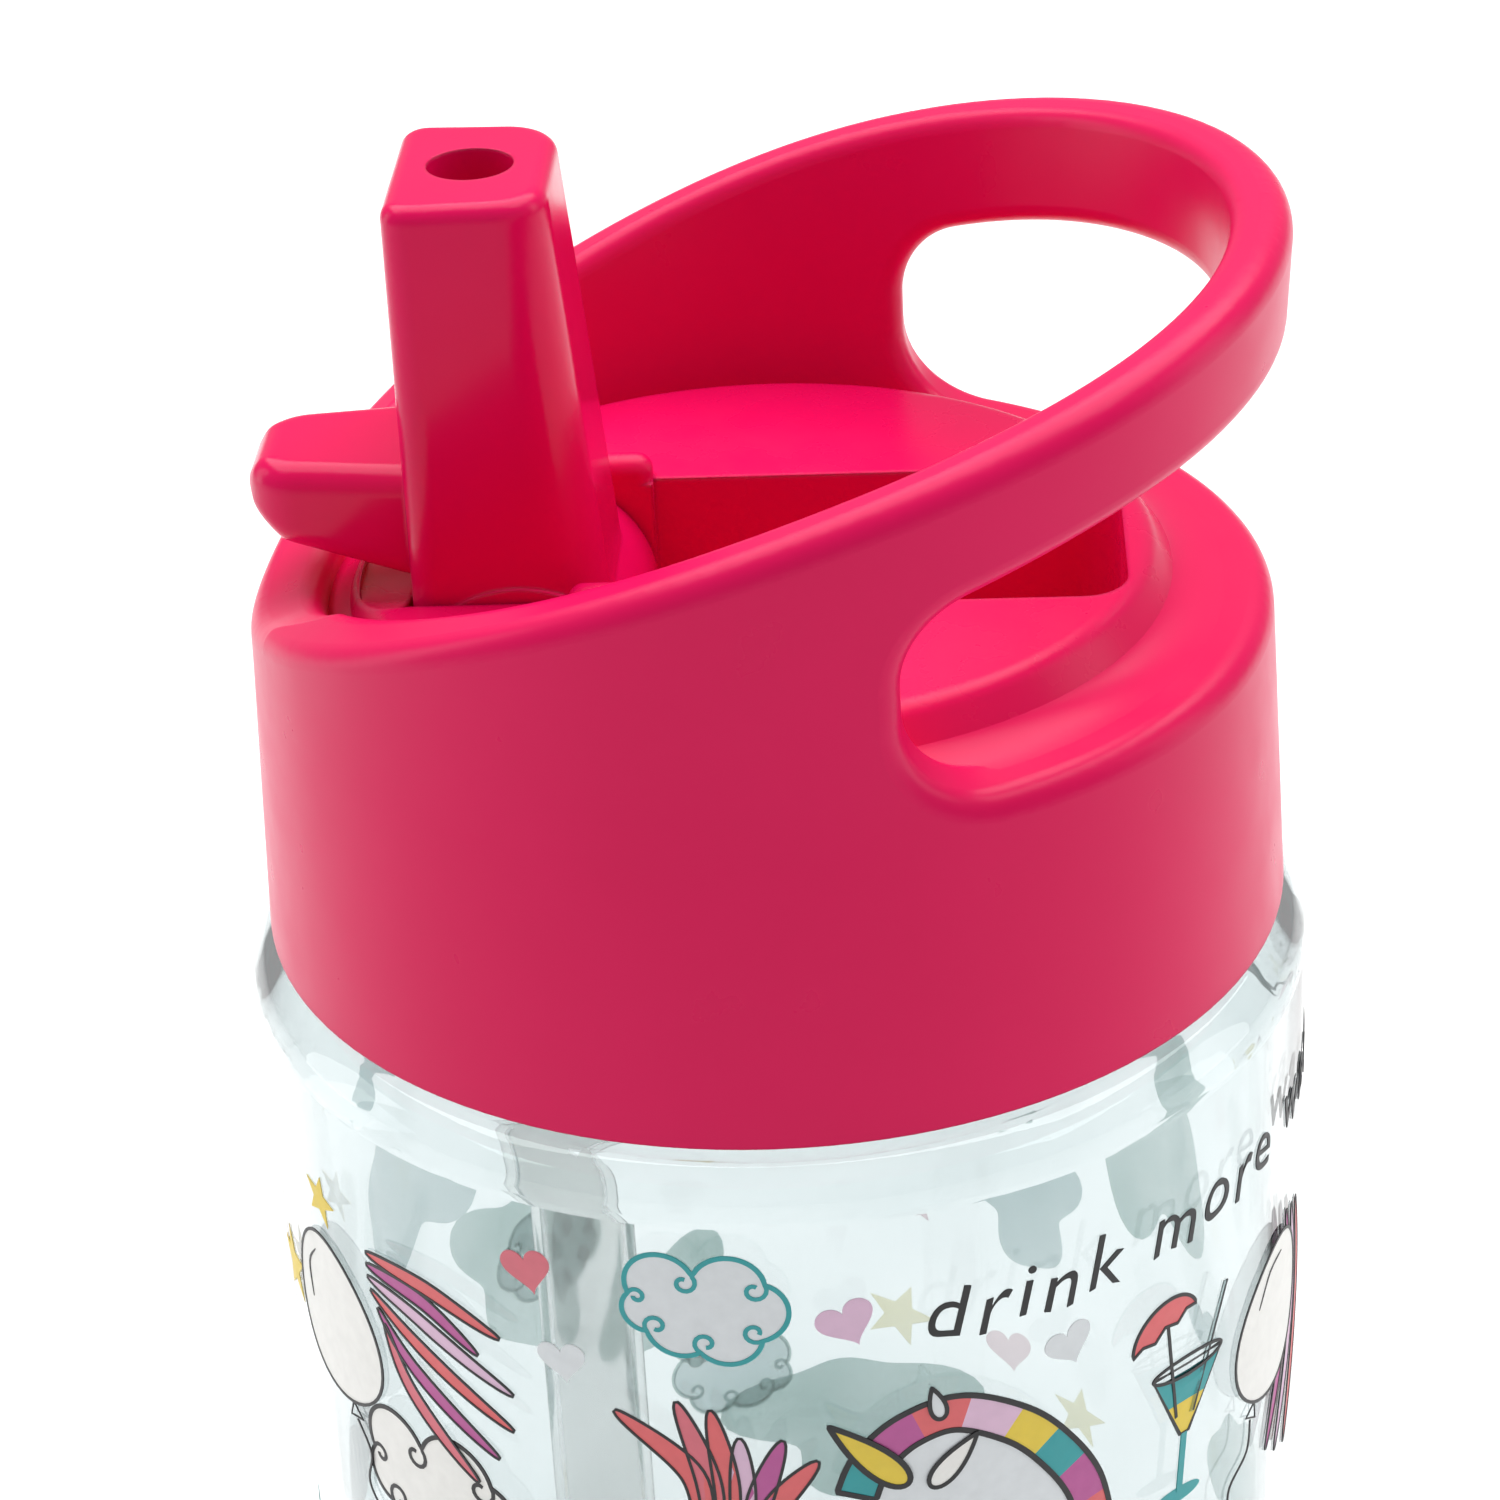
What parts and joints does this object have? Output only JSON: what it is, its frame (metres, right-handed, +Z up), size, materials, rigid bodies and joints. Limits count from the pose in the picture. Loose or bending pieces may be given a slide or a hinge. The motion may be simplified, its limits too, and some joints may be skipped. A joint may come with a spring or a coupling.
{
  "type": "child's flip-spout water bottle",
  "caption": "Clear screw-neck drinking bottle for a child, with a coloured screw lid, slanted carry loop and a flip-up mouthpiece on a straw.",
  "frame": {"origin": "centre of the bottle's base, at the level of the surface it stands on", "axes": "+Z up along the bottle; +X towards the high end of the carry loop, so the mouthpiece is on the -X side and folds towards +X; +Y completes the right-handed frame"},
  "size_m": [0.0734, 0.0734, 0.177],
  "materials": {
    "clear_plastic": "clear, very slightly aqua copolyester, glossy",
    "lid_plastic": "semi-gloss magenta-pink polypropylene",
    "deck_plastic": "semi-gloss magenta-pink polypropylene",
    "spout_plastic": "glossy magenta-pink, slightly soft",
    "silicone": "translucent food-grade silicone",
    "straw_plastic": "milky translucent polypropylene"
  },
  "bodies": {
    "bottle": {"bottle_body": "clear_plastic"},
    "gasket": {"lid_gasket": "silicone"},
    "lid": {"lid_shell": "lid_plastic", "lid_deck": "deck_plastic", "spout_seal": "silicone", "straw": "straw_plastic", "vent_valve": "silicone"},
    "mouthpiece": {"spout": "spout_plastic"}
  },
  "joints": [
    {"name": "lid_rise", "type": "slide", "parent": "bottle", "child": "gasket", "axis": [0, 0, 1], "range_m": [0, 0.0051]},
    {"name": "lid_turn", "type": "hinge", "parent": "gasket", "child": "lid", "pos_m": [0, 0, 0.125], "axis": [0, 0, 1], "range_deg": [0, 450]},
    {"name": "spout_fold", "type": "hinge", "parent": "lid", "child": "mouthpiece", "pos_m": [-0.0155, 0, 0.143], "axis": [0, 1, 0], "range_deg": [0, 90]}
  ],
  "couplings": [
    {"joint": "lid_rise", "follows": "lid_turn", "m_per_rad": 0.00063662}
  ]
}
